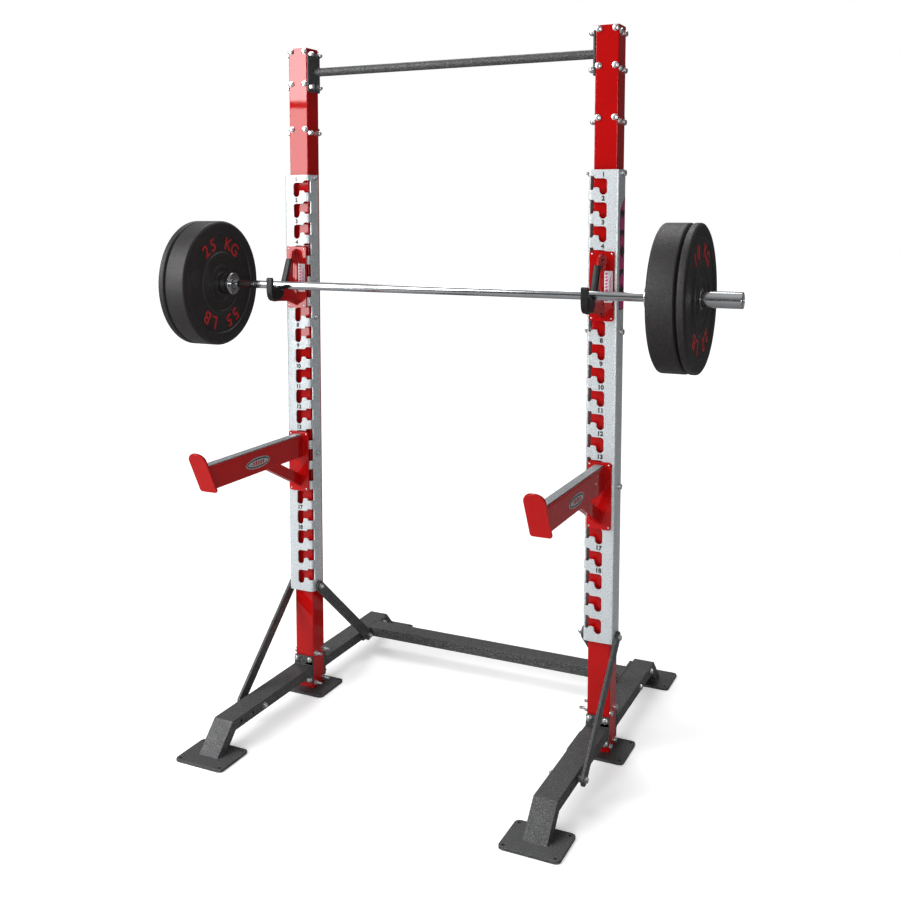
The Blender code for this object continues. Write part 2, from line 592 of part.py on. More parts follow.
def safety_arm(side, sign):
    """Catch arm: box tube, leaning end stop and strut on a backing plate, with a wear strip on top."""
    x = RACK_X + sign * HALF_SPACING
    origin = (x, SLEEVE_FRONT, seat(ARM_SLOTS[1]))
    body, studs = backing_plate(x, ARM_SLOTS)
    front = SLEEVE_FRONT - GAP - HOOK_T
    half = ARM_W / 2
    low = ARM_TOP - ARM_H
    tube = box((x - half, -0.68, low), (x + half, front + 0.002, ARM_TOP), bevel=0.004, edges="Y")
    beyond = [(stop_y(z, STOP_T / 2), z) for z in (low - 0.05, ARM_TOP + 0.05)]
    end_cut = plate("YZ", beyond + [(-0.80, ARM_TOP + 0.05), (-0.80, low - 0.05)], x - 0.1, x + 0.1)
    heights = (low + ARM_WALL, ARM_TOP - ARM_WALL)
    inside = [(front, heights[0]), (front, heights[1])]
    inside += [(stop_y(z, STOP_T), z) for z in heights[::-1]]
    hollow = plate("YZ", inside, x - half + ARM_WALL, x + half - ARM_WALL)

    stop = plate("XZ", rounded((x - STOP_HALF, 0.0), (x + STOP_HALF, STOP_LENGTH), STOP_CORNERS, 4),
                 0.0, STOP_T)
    lean = Matrix.Rotation(math.atan(STOP_LEAN), 4, "X")
    stop.transform(Matrix.Translation((0, STOP_Y, STOP_Z)) @ lean)

    reaches = [front - (low + 0.001 - edge) / STRUT_RISE for edge in STRUT_Z]
    strut = plate("YZ", [(front + 0.002, STRUT_Z[0]), (reaches[0], low + 0.001),
                         (reaches[1], low + 0.001), (front + 0.002, STRUT_Z[1])],
                  x - STRUT_HALF, x + STRUT_HALF)
    drain = rod("Z", (x, -0.50, 0), DRAIN_R, low - 0.01, low + 0.01, 8)
    solid(f"safety_arm_{side}", body, "red", ("add", studs), ("add", tube), ("cut", end_cut), ("add", stop),
          ("add", strut), ("cut", hollow), ("cut", drain), origin=origin)
    strip = box((x - STRIP_W / 2, stop_y(ARM_TOP, STOP_T) + 0.001, ARM_TOP + GAP),
                (x + STRIP_W / 2, front - 0.004, ARM_TOP + GAP + STRIP_T))
    solid(f"arm_wear_strip_{side}", strip, "rail", origin=origin)


# ---------------------------------------------------------------- barbell and plates
def barbell():
    tip = BAR_HALF - 0.012                          # the shaft's end, behind the sleeve's cap
    groove = [(tip - 0.0063, BAR_R), (tip - 0.0063, 0.0120), (tip - 0.0037, 0.0120), (tip - 0.0037, BAR_R)]
    half_bar = [*groove, (tip, BAR_R), (tip, 0)]
    shaft = turned([(-u, r) for u, r in half_bar[::-1]] + half_bar, 20,
                   centre=(0, BAR_Y, BAR_Z), flip=True)
    smooth(solid("bar_shaft", shaft, "chrome", origin=(0, BAR_Y, BAR_Z)))
    collar_out = COLLAR_IN + COLLAR_L
    for side, sign in SIDES.items():
        profile = [(COLLAR_IN, BAR_R + GAP), (COLLAR_IN, COLLAR_R - 0.003), (COLLAR_IN + 0.003, COLLAR_R),
                   (collar_out - 0.002, COLLAR_R), (collar_out, COLLAR_R - 0.002),
                   (collar_out, SLEEVE_R), (BAR_HALF - 0.003, SLEEVE_R), (BAR_HALF, SLEEVE_R - 0.003),
                   (BAR_HALF, BORE_R), (COLLAR_IN + 0.006, BORE_R), (COLLAR_IN + 0.006, BAR_R + GAP)]
        bushes = [[(a, BAR_R + GAP), (a, BORE_R - GAP), (a + 0.040, BORE_R - GAP), (a + 0.040, BAR_R + GAP)]
                  for a in (COLLAR_IN + 0.007, BAR_HALF - 0.062)]
        cap = [(BAR_HALF - 0.0075, 0), (BAR_HALF - 0.0075, BORE_R - GAP), (BAR_HALF - 0.0035, BORE_R - GAP),
               (BAR_HALF - 0.0035, 0)]
        ring = [(tip - 0.0060, 0.0123), (tip - 0.0060, 0.0175), (tip - 0.0040, 0.0175), (tip - 0.0040, 0.0123)]
        for name, section, sides, look in (("bar_sleeve", profile, 24, "chrome"),
                                           ("inner_bush", bushes[0], 16, "bronze"),
                                           ("outer_bush", bushes[1], 16, "bronze"),
                                           ("retaining_ring", ring, 16, "zinc"),
                                           ("sleeve_cap", cap, 16, "zinc")):
            mesh = turned(section, sides, centre=(0, BAR_Y, BAR_Z), flip=True)
            if sign < 0:
                mesh = mirrored(mesh, 0.0)
            smooth(solid(f"{name}_{side}", mesh, look, origin=(sign * COLLAR_IN, BAR_Y, BAR_Z)))


def weight_plate(kind, start, width, recess):
    """Rubber disc with a raised rim and hub, on a flanged steel hub."""
    hub_r, wall = 0.032, SLEEVE_R + 0.0006
    end = start + width
    rim = 0.007
    half = [(0.0, hub_r + GAP), (0.0, 0.104), (recess, 0.106), (recess, 0.178), (0.0, 0.181),
            (0.0, PLATE_R - rim), (rim, PLATE_R)]
    section = [(start + u, r) for u, r in half] + [(end - u, r) for u, r in half[::-1]]
    hub = [(start + 0.0005, wall), (start + 0.0005, hub_r), (end - 0.0005, hub_r), (end - 0.0005, wall)]
    for side, sign in SIDES.items():
        for name, points, steps, look in ((f"{kind}_plate", section, 28, "rubber"),
                                          (f"{kind}_plate_hub", hub, 16, "zinc")):
            mesh = turned(points, steps, centre=(0, BAR_Y, BAR_Z), flip=True)
            if sign < 0:
                mesh = mirrored(mesh, 0.0)
            smooth(solid(f"{name}_{side}", mesh, look, origin=(sign * start, BAR_Y, BAR_Z)))


for SIDE, SIGN in SIDES.items():
    upright(SIDE, SIGN)
    slotted_rail(SIDE, SIGN)
    centre_foot(SIDE, SIGN)
    leg(f"front_leg_{SIDE}", SIGN, -1, (FRONT_BRACE_Y, *SPARE_HOLES_Y))
    leg(f"rear_leg_{SIDE}", SIGN, 1, (REAR_BRACE_Y, CROSS_BOLT_Y))
    braces(SIDE, SIGN)
    j_cup(SIDE, SIGN)
    safety_arm(SIDE, SIGN)
cross_member()
pull_up_bar()
barbell()
FIRST = COLLAR_IN + COLLAR_L + GAP
weight_plate("thick", FIRST, THICK_PLATE, 0.015)
weight_plate("thin", FIRST + THICK_PLATE + 0.001, THIN_PLATE, 0.006)
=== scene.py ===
"""Looks for the half rack with its loaded barbell: finished surfaces, fasteners, decals, light and camera."""
import json
import math

import bmesh
import bpy
from mathutils import Matrix, Vector


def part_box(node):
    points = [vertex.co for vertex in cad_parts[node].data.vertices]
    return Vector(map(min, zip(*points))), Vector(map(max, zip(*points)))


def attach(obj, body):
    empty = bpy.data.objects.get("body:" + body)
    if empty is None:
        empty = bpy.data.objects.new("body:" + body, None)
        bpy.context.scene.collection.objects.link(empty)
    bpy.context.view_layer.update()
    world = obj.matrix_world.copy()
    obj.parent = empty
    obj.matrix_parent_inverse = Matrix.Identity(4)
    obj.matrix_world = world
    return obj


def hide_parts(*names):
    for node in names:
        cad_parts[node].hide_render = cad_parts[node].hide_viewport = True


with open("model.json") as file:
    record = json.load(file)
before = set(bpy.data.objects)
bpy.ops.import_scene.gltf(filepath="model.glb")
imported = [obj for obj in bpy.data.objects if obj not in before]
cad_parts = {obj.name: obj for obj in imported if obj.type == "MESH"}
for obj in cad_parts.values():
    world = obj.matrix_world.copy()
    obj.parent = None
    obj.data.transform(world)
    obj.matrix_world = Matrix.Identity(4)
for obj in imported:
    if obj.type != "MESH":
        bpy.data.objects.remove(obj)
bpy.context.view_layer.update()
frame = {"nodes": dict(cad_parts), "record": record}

SCENE = bpy.context.scene
BODY_OF = {node: body for body, nodes in frame["record"]["behaviour"]["bodies"].items() for node in nodes}
SLOT_OF = {part["node"]: part["material_slot"] for part in frame["record"]["subparts"]}
SIDES = {"left": -1, "right": 1}


# ---------------------------------------------------------------- places, from the frame
def middle(node):
    low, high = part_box(node)
    return (low + high) / 2


UPRIGHT_X = {side: middle(f"upright_{side}").x for side in SIDES}
RACK_X = sum(UPRIGHT_X.values()) / 2
UPRIGHT_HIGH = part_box("upright_right")[1]
UPRIGHT_HALF = UPRIGHT_HIGH.y
TOP = UPRIGHT_HIGH.z
RAIL_LOW, RAIL_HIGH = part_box("slotted_rail_right")
RAIL_HALF = (RAIL_HIGH.x - RAIL_LOW.x) / 2
BAR = middle("bar_shaft")
LEG_HALF = UPRIGHT_X["right"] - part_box("cross_member")[1].x
FLANGE_FRONT = UPRIGHT_HALF + 0.0103            # outer face of the legs' bolt flanges
PLATE_FRONT = RAIL_LOW.y - 0.0063                # front face of the J-cups' and arms' backing plates
ARM_PLATE = 0.222                                # height of an arm's backing plate
ALONG_FRONT = Matrix.Rotation(math.pi / 2, 4, "X")     # a flat drawing stood up to face -Y

# ---------------------------------------------------------------- materials
class Shader:
    """A Principled material with helpers that add procedural detail in the object's own metres."""

    def __init__(self, name, colour, roughness, metallic=0.0, **sockets):
        self.mat = bpy.data.materials.new(name)
        self.mat.use_nodes = True
        self.tree = self.mat.node_tree
        self.bsdf = self.tree.nodes["Principled BSDF"]
        self.set("Base Color", (*colour, 1.0))
        self.set("Roughness", roughness)
        self.set("Metallic", metallic)
        for socket, value in sockets.items():
            self.set(socket.replace("_", " "), value)
        self.coords = self.node("ShaderNodeTexCoord").outputs["Object"]
        self.last_bump = None

    def set(self, socket, value):
        self.bsdf.inputs[socket].default_value = value

    def node(self, kind, **settings):
        made = self.tree.nodes.new(kind)
        for key, value in settings.items():
            setattr(made, key, value)
        return made

    def link(self, source, target):
        self.tree.links.new(source, target)

    def noise(self, scale, detail=3.0, roughness=0.55, stretch=None):
        tex = self.node("ShaderNodeTexNoise")
        tex.inputs["Scale"].default_value = scale
        tex.inputs["Detail"].default_value = detail
        tex.inputs["Roughness"].default_value = roughness
        self.link(self.stretched(stretch), tex.inputs["Vector"])
        return tex.outputs["Fac"]

    def cells(self, scale, feature="F1", output="Distance", stretch=None):
        tex = self.node("ShaderNodeTexVoronoi", feature=feature)
        tex.inputs["Scale"].default_value = scale
        self.link(self.stretched(stretch), tex.inputs["Vector"])
        return tex.outputs[output]

    def stretched(self, stretch):
        if stretch is None:
            return self.coords
        mapping = self.node("ShaderNodeMapping")
        mapping.inputs["Scale"].default_value = stretch
        self.link(self.coords, mapping.inputs["Vector"])
        return mapping.outputs["Vector"]

    def ramp(self, source, *stops):
        """A colour ramp: stops are (position, colour or grey)."""
        made = self.node("ShaderNodeValToRGB")
        ramp = made.color_ramp
        while len(ramp.elements) < len(stops):
            ramp.elements.new(0.5)
        for element, (position, value) in zip(ramp.elements, stops):
            element.position = position
            element.color = (*value, 1.0) if isinstance(value, tuple) else (value, value, value, 1.0)
        self.link(source, made.inputs["Fac"])
        return made.outputs["Color"]

    def mix(self, factor, a, b, blend="MIX"):
        made = self.node("ShaderNodeMix", data_type="RGBA", blend_type=blend)
        for socket, value in (("Factor", factor), ("A", a), ("B", b)):
            index = {"Factor": 0, "A": 6, "B": 7}[socket]
            if isinstance(value, bpy.types.NodeSocket):
                self.link(value, made.inputs[index])
            else:
                made.inputs[index].default_value = value if index == 0 else (*value, 1.0)
        return made.outputs[2]

    def bump(self, height, strength, distance):
        made = self.node("ShaderNodeBump")
        made.inputs["Strength"].default_value = strength
        made.inputs["Distance"].default_value = distance
        self.link(height, made.inputs["Height"])
        if self.last_bump:
            self.link(self.last_bump, made.inputs["Normal"])
        self.last_bump = made.outputs["Normal"]
        self.link(self.last_bump, self.bsdf.inputs["Normal"])

    def colour(self, source):
        self.link(source, self.bsdf.inputs["Base Color"])

    def rough(self, source):
        self.link(source, self.bsdf.inputs["Roughness"])


def red_powder_coat():
    s = Shader("red_powder_coat", (0.44, 0.0028, 0.0028), 0.5, Coat_Weight=0.6, Coat_Roughness=0.03,
               Specular_IOR_Level=0.02)
    s.colour(s.ramp(s.noise(5, 4), (0.3, (0.35, 0.0015, 0.0018)), (0.7, (0.40, 0.0020, 0.0023))))
    s.rough(s.ramp(s.noise(40, 5), (0.3, 0.42), (0.75, 0.6)))
    s.bump(s.noise(420, 2), 0.03, 0.0003)
    return s.mat


def charcoal_powder_coat():
    s = Shader("charcoal_powder_coat", (0.04, 0.041, 0.043), 0.5, Specular_IOR_Level=0.45)
    grain = s.noise(300, 4, 0.8)
    s.colour(s.ramp(grain, (0.38, (0.008, 0.008, 0.009)), (0.53, (0.048, 0.049, 0.051)),
                    (0.66, (0.20, 0.203, 0.208))))
    s.rough(s.ramp(s.noise(30, 4), (0.3, 0.42), (0.7, 0.6)))
    s.bump(grain, 0.55, 0.0008)
    s.bump(s.noise(260, 2), 0.2, 0.0008)
    return s.mat


def hammered(name, dark, light, roughness, fineness):
    """Hammer-finish paint: shallow dimples and darker specks with a metallic lustre."""
    s = Shader(name, light, roughness, 0.3, Specular_IOR_Level=0.6)
    specks = s.noise(fineness, 4, 0.7)
    s.colour(s.mix(s.ramp(specks, (0.40, 0.0), (0.58, 1.0)), dark, light))
    s.rough(s.ramp(s.noise(160, 3), (0.3, roughness - 0.08), (0.7, roughness + 0.1)))
    s.bump(s.cells(210, "SMOOTH_F1"), 0.4, 0.0014)
    s.bump(specks, 0.25, 0.0007)
    return s.mat


def zinc_plate():
    s = Shader("zinc_plate", (0.68, 0.70, 0.71), 0.26, 1.0)
    s.colour(s.ramp(s.noise(55, 4), (0.3, (0.56, 0.58, 0.60)), (0.7, (0.76, 0.77, 0.77))))
    s.rough(s.ramp(s.noise(180, 4), (0.3, 0.18), (0.7, 0.36)))
    s.bump(s.noise(700, 2), 0.1, 0.0002)
    return s.mat


def black_nylon():
    s = Shader("black_nylon", (0.006, 0.006, 0.0065), 0.4, Specular_IOR_Level=0.3)
    s.colour(s.ramp(s.noise(60, 4), (0.3, (0.004, 0.004, 0.0045)), (0.75, (0.010, 0.010, 0.0105))))
    s.rough(s.ramp(s.noise(90, 5), (0.3, 0.32), (0.7, 0.48)))
    s.bump(s.noise(1300, 2), 0.2, 0.0003)
    return s.mat


def bar_chrome():
    s = Shader("bar_chrome", (0.80, 0.81, 0.83), 0.09, 1.0)
    lathe = s.noise(18, 3, 0.6, stretch=(60, 1, 1))
    s.colour(s.ramp(s.noise(9, 3), (0.3, (0.44, 0.455, 0.47)), (0.7, (0.55, 0.565, 0.58))))
    s.rough(s.ramp(lathe, (0.3, 0.06), (0.7, 0.16)))
    s.bump(lathe, 0.05, 0.0002)
    return s.mat


def crumb_rubber():
    s = Shader("crumb_rubber", (0.010, 0.0095, 0.010), 0.5, Specular_IOR_Level=0.5)
    crumbs = s.cells(430)
    fleck = s.node("ShaderNodeSeparateColor")
    s.link(s.cells(430, output="Color"), fleck.inputs["Color"])
    red = s.ramp(fleck.outputs["Red"], (0.93, 0.0), (0.97, 1.0))
    base = s.ramp(s.noise(260, 4, 0.75), (0.40, (0.002, 0.002, 0.0022)), (0.66, (0.019, 0.0187, 0.019)))
    s.colour(s.mix(red, base, (0.040, 0.004, 0.005)))
    s.rough(s.ramp(s.noise(140, 4), (0.3, 0.40), (0.7, 0.60)))
    s.bump(crumbs, 0.45, 0.0012)
    s.bump(s.noise(1100, 2), 0.2, 0.0004)
    return s.mat


def steel(name, colour, low, high, **sockets):
    s = Shader(name, colour, low, 1.0, **sockets)
    s.rough(s.ramp(s.noise(60, 4, 0.6, stretch=(14, 1, 1)), (0.3, low), (0.7, high)))
    s.bump(s.noise(240, 3), 0.08, 0.0002)
    return s.mat


def paint(name, colour, roughness=0.4, **sockets):
    """Print or ink: a thin even coat with a little mottle."""
    s = Shader(name, colour, roughness, **sockets)
    dim = tuple(c * 0.82 for c in colour)
    s.colour(s.ramp(s.noise(200, 3), (0.3, dim), (0.7, colour)))
    s.rough(s.ramp(s.noise(90, 3), (0.3, roughness - 0.08), (0.7, roughness + 0.08)))
    s.bump(s.noise(800, 2), 0.08, 0.0001)
    return s.mat


MATERIALS = {
    "red_powder_coat": red_powder_coat(),
    "charcoal_powder_coat": charcoal_powder_coat(),
    "rail_paint": hammered("rail_paint", (0.34, 0.372, 0.39), (0.70, 0.745, 0.765), 0.36, 340),
    "wear_strip_paint": hammered("wear_strip_paint", (0.13, 0.14, 0.147), (0.52, 0.55, 0.57), 0.38, 330),
    "zinc_plate": zinc_plate(),
    "black_nylon": black_nylon(),
    "bar_chrome": bar_chrome(),
    "bush_bronze": steel("bush_bronze", (0.55, 0.36, 0.16), 0.25, 0.4),
    "crumb_rubber": crumb_rubber(),
    "hub_steel": steel("hub_steel", (0.42, 0.42, 0.43), 0.22, 0.4),
    "stencil_black": paint("stencil_black", (0.012, 0.010, 0.010), 0.5),
    "print_red": paint("print_red", (0.44, 0.005, 0.008), 0.55),
    "print_magenta": paint("print_magenta", (0.66, 0.012, 0.20), 0.4),
    "label_white": paint("label_white", (0.74, 0.73, 0.74), 0.35),
    "badge_silver": paint("badge_silver", (0.55, 0.56, 0.57), 0.3, Metallic=0.6),
}


# ---------------------------------------------------------------- mesh tools
def place(name, mesh, body, slot, material=None, replaced=()):
    """A new piece: its mesh is in the frame's own metres, and it rides on a body."""
    obj = bpy.data.objects.new(name, mesh)
    SCENE.collection.objects.link(obj)
    mesh.materials.clear()
    mesh.materials.append(MATERIALS[material or slot])
    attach(obj, body)
    if replaced:
        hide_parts(*replaced)
    return obj


def soften(obj, width, segments=2, angle=35):
    """Rounds the piece's hard edges and shades the rest smooth."""
    obj.data.shade_smooth()
    bevel = obj.modifiers.new("edges", "BEVEL")
    bevel.width = width
    bevel.segments = segments
    bevel.limit_method = "ANGLE"
    bevel.angle_limit = math.radians(angle)
    bevel.use_clamp_overlap = False
    flats = obj.modifiers.new("flats", "WEIGHTED_NORMAL")
    flats.weight = 100
    flats.keep_sharp = True
    return obj


def refined(node, width, segments=2):
    """A copy of a CAD node with its flats joined up and its edges rounded, in place of the node."""
    shape = bmesh.new()
    shape.from_mesh(frame["nodes"][node].data)
    bmesh.ops.remove_doubles(shape, verts=shape.verts, dist=1e-5)
    bmesh.ops.dissolve_limit(shape, angle_limit=math.radians(1), verts=shape.verts, edges=shape.edges)
    mesh = bpy.data.meshes.new(f"{node}_finished")
    shape.to_mesh(mesh)
    shape.free()
    obj = place(f"{node}_finished", mesh, BODY_OF[node], SLOT_OF[node], replaced=[node])
    return soften(obj, width, segments)


def as_mesh(obj, name):
    """The object's evaluated mesh in world space; the object itself is removed."""
    bpy.context.view_layer.update()
    graph = bpy.context.evaluated_depsgraph_get()
    mesh = bpy.data.meshes.new_from_object(obj.evaluated_get(graph))
    mesh.transform(obj.matrix_world)
    mesh.name = name
    bpy.data.objects.remove(obj, do_unlink=True)
    shape = bmesh.new()
    shape.from_mesh(mesh)
    bmesh.ops.remove_doubles(shape, verts=shape.verts, dist=1e-6)
    bmesh.ops.recalc_face_normals(shape, faces=shape.faces)
    shape.to_mesh(mesh)
    shape.free()
    return mesh


def turned(profile, steps=96):
    """A (height, radius) profile turned about Z, run from its high end down the outer side."""
    mesh = bpy.data.meshes.new("profile")
    count = len(profile)
    edges = [(i, i + 1) for i in range(count - 1)]
    if min(r for _, r in profile) > 0:
        edges.append((count - 1, 0))
    mesh.from_pydata([(r, 0, z) for z, r in profile], edges, [])
    obj = bpy.data.objects.new("profile", mesh)
    SCENE.collection.objects.link(obj)
    screw = obj.modifiers.new("turn", "SCREW")
    screw.steps = screw.render_steps = steps
    screw.use_merge_vertices = True
    screw.merge_threshold = 1e-6
    return as_mesh(obj, "turned")


def rounded_profile(points, radius, steps=3):
    """A (height, radius) profile with each corner eased by a small arc, except those on the axis."""
    made = []
    count = len(points)
    for index, point in enumerate(points):
        if point[1] <= 0:
            made.append(point)
            continue
        here = Vector(point)
        before = Vector(points[index - 1]) - here
        after = Vector(points[(index + 1) % count]) - here
        reach = min(radius, before.length * 0.45, after.length * 0.45)
        a, b = here + before.normalized() * reach, here + after.normalized() * reach
        for step in range(steps + 1):
            t = step / steps
            spot = a.lerp(here, t).lerp(here.lerp(b, t), t)
            made.append((spot.x, spot.y))
    return made


def flat(plane, outline, low, high, ease=0.0):
    """A flat piece from an outline in a plane, between two values on the third axis."""
    curve = bpy.data.curves.new("outline", "CURVE")
    curve.dimensions = "2D"
    curve.fill_mode = "BOTH"
    curve.extrude = (high - low) / 2 - ease
    curve.bevel_depth = ease
    curve.bevel_resolution = 1
    curve.offset = -ease
    spline = curve.splines.new("POLY")
    spline.points.add(len(outline) - 1)
    for point, (u, v) in zip(spline.points, outline):
        point.co = (u, v, 0, 1)
    spline.use_cyclic_u = True
    obj = bpy.data.objects.new("outline", curve)
    SCENE.collection.objects.link(obj)
    turn = {"XZ": Matrix(((1, 0, 0), (0, 0, -1), (0, 1, 0))),
            "YZ": Matrix(((0, 0, 1), (1, 0, 0), (0, 1, 0)))}[plane].to_4x4()
    depth = Vector((0, 0, 0))
    depth["XYZ".index(({"X", "Y", "Z"} - set(plane)).pop())] = (low + high) / 2
    obj.matrix_world = Matrix.Translation(depth) @ turn
    return as_mesh(obj, "flat")


def arc(centre, radius, start, end, steps):
    turns = [math.radians(start + (end - start) * i / steps) for i in range(steps + 1)]
    return [(centre[0] + radius * math.cos(t), centre[1] + radius * math.sin(t)) for t in turns]


def ellipse(centre, width, height, steps=48):
    turns = [math.tau * i / steps for i in range(steps)]
    return [(centre[0] + width / 2 * math.cos(t), centre[1] + height / 2 * math.sin(t)) for t in turns]


def grouped(meshes):
    """Several meshes as one."""
    shape = bmesh.new()
    for mesh in meshes:
        shape.from_mesh(mesh)
    mesh = bpy.data.meshes.new("group")
    shape.to_mesh(mesh)
    shape.free()
    return mesh


def stood(mesh, at, way):
    """A copy of a mesh made along +Z, moved to a point and turned to face a direction."""
    copy = mesh.copy()
    turn = Vector(way).to_track_quat("Z", "Y").to_matrix().to_4x4()
    copy.transform(Matrix.Translation(at) @ turn)
    return copy


def lettering(text, height, extrude=0.0002, bold=0.0):
    """A text as a mesh in the XY plane, centred, with its capitals of the given height."""
    curve = bpy.data.curves.new("text", "FONT")
    curve.body = text
    curve.size = height / 0.7
    curve.align_x = "CENTER"
    curve.extrude = extrude
    curve.offset = bold
    obj = bpy.data.objects.new("text", curve)
    SCENE.collection.objects.link(obj)
    mesh = as_mesh(obj, "text")
    mesh.transform(Matrix.Translation((0, -height / 2, 0)))
    return mesh


def shade(obj, angle=35):
    """Smooth shading, with the edges sharper than the angle kept hard."""
    obj.data.shade_smooth()
    obj.data.set_sharp_from_angle(angle=math.radians(angle))
    return obj


# ---------------------------------------------------------------- fasteners
WASHER_T, HEAD_T, NUT_T, THREAD_R = 0.0016, 0.0064, 0.0080, 0.0049
WASHER_R, HEX_R = 0.0104, 0.0098


def hexagon(low, high, chamfer_low, chamfer_high):
    """A hexagon prism whose corners are turned down to a cone at the chosen ends."""
    shape = bmesh.new()
    bmesh.ops.create_cone(shape, cap_ends=True, segments=6, radius1=HEX_R, radius2=HEX_R, depth=high - low)
    bmesh.ops.translate(shape, vec=(0, 0, (low + high) / 2), verts=shape.verts)
    mesh = bpy.data.meshes.new("hexagon")
    shape.to_mesh(mesh)
    shape.free()
    obj = bpy.data.objects.new("hexagon", mesh)
    cut = 0.0016
    profile = [(high, 0), (high, HEX_R - cut * chamfer_high * 1.5), (high - cut, HEX_R + 0.0004),
               (low + cut, HEX_R + 0.0004), (low, HEX_R - cut * chamfer_low * 1.5), (low, 0)]
    cone = bpy.data.objects.new("cone", turned(profile, 36))
    for piece in (obj, cone):
        SCENE.collection.objects.link(piece)
    step = obj.modifiers.new("chamfer", "BOOLEAN")
    step.operation = "INTERSECT"
    step.object = cone
    bevel = obj.modifiers.new("ease", "BEVEL")
    bevel.width = 0.0003
    bevel.segments = 1
    bevel.angle_limit = math.radians(40)
    made = as_mesh(obj, "hexagon")
    bpy.data.objects.remove(cone, do_unlink=True)
    return made


def thread(start, end, radius=THREAD_R, pitch=0.0015):
    """A bolt's threaded end as close-set rings, with a chamfered tip."""
    profile = [(end, 0), (end, radius * 0.8)]
    z = end - radius * 0.2
    while z > start:
        profile += [(z, radius), (z - pitch / 2, radius * 0.86)]
        z -= pitch
    profile += [(start, radius * 0.86), (start, 0)]
    return turned(profile, 20)


def washer():
    ring = rounded_profile([(WASHER_T, THREAD_R), (WASHER_T, WASHER_R), (0.0, WASHER_R), (0.0, THREAD_R)],
                           0.0004, 2)
    return turned(ring, 32)


def fastener_kinds():
    """One mesh of each kind along +Z, its seat at zero."""
    ring, top = washer(), WASHER_T + HEAD_T
    dome_low = WASHER_T + 0.0070
    dome = [(dome_low + z, r) for r, z in arc((0, 0), 0.0086, 90, 0, 10)]
    dome[0] = (dome[0][0], 0)
    dome += [(dome_low - 0.001, 0.0086), (dome_low - 0.001, 0)]
    mark = turned([(top + 0.0003, 0), (top + 0.0003, 0.0036), (top, 0.0040), (top - 0.001, 0.0040),
                   (top - 0.001, 0)], 24)
    stand = 0.0050
    step = [(stand, 0), (stand, 0.0070), (WASHER_T, 0.0070), (WASHER_T, 0)]
    collar = turned(rounded_profile(step, 0.0005, 2), 24)
    raised = grouped([hexagon(WASHER_T, top, 0, 1), mark])
    raised.transform(Matrix.Translation((0, 0, stand - WASHER_T)))
    return {
        "head": grouped([ring, hexagon(WASHER_T, top, 0, 1), mark]),
        "raised_head": grouped([ring, collar, raised]),
        "nut": grouped([ring, hexagon(WASHER_T, WASHER_T + NUT_T, 1, 1),
                        thread(WASHER_T, WASHER_T + NUT_T + 0.005)]),
        "long_nut": grouped([ring, hexagon(WASHER_T, WASHER_T + NUT_T, 1, 1),
                             thread(WASHER_T, WASHER_T + NUT_T + 0.019)]),
        "dome_nut": grouped([ring, hexagon(WASHER_T, dome_low, 1, 0), turned(dome, 32)]),
    }


KINDS = fastener_kinds()


def fasteners(name, body, spots, replaced=()):
    """A group of fasteners: each spot is a kind, a seat point and the way it faces."""
    meshes = [stood(KINDS[kind], at, way) for kind, at, way in spots]
    return shade(place(name, grouped(meshes), body, "zinc_plate", replaced=replaced), 30)


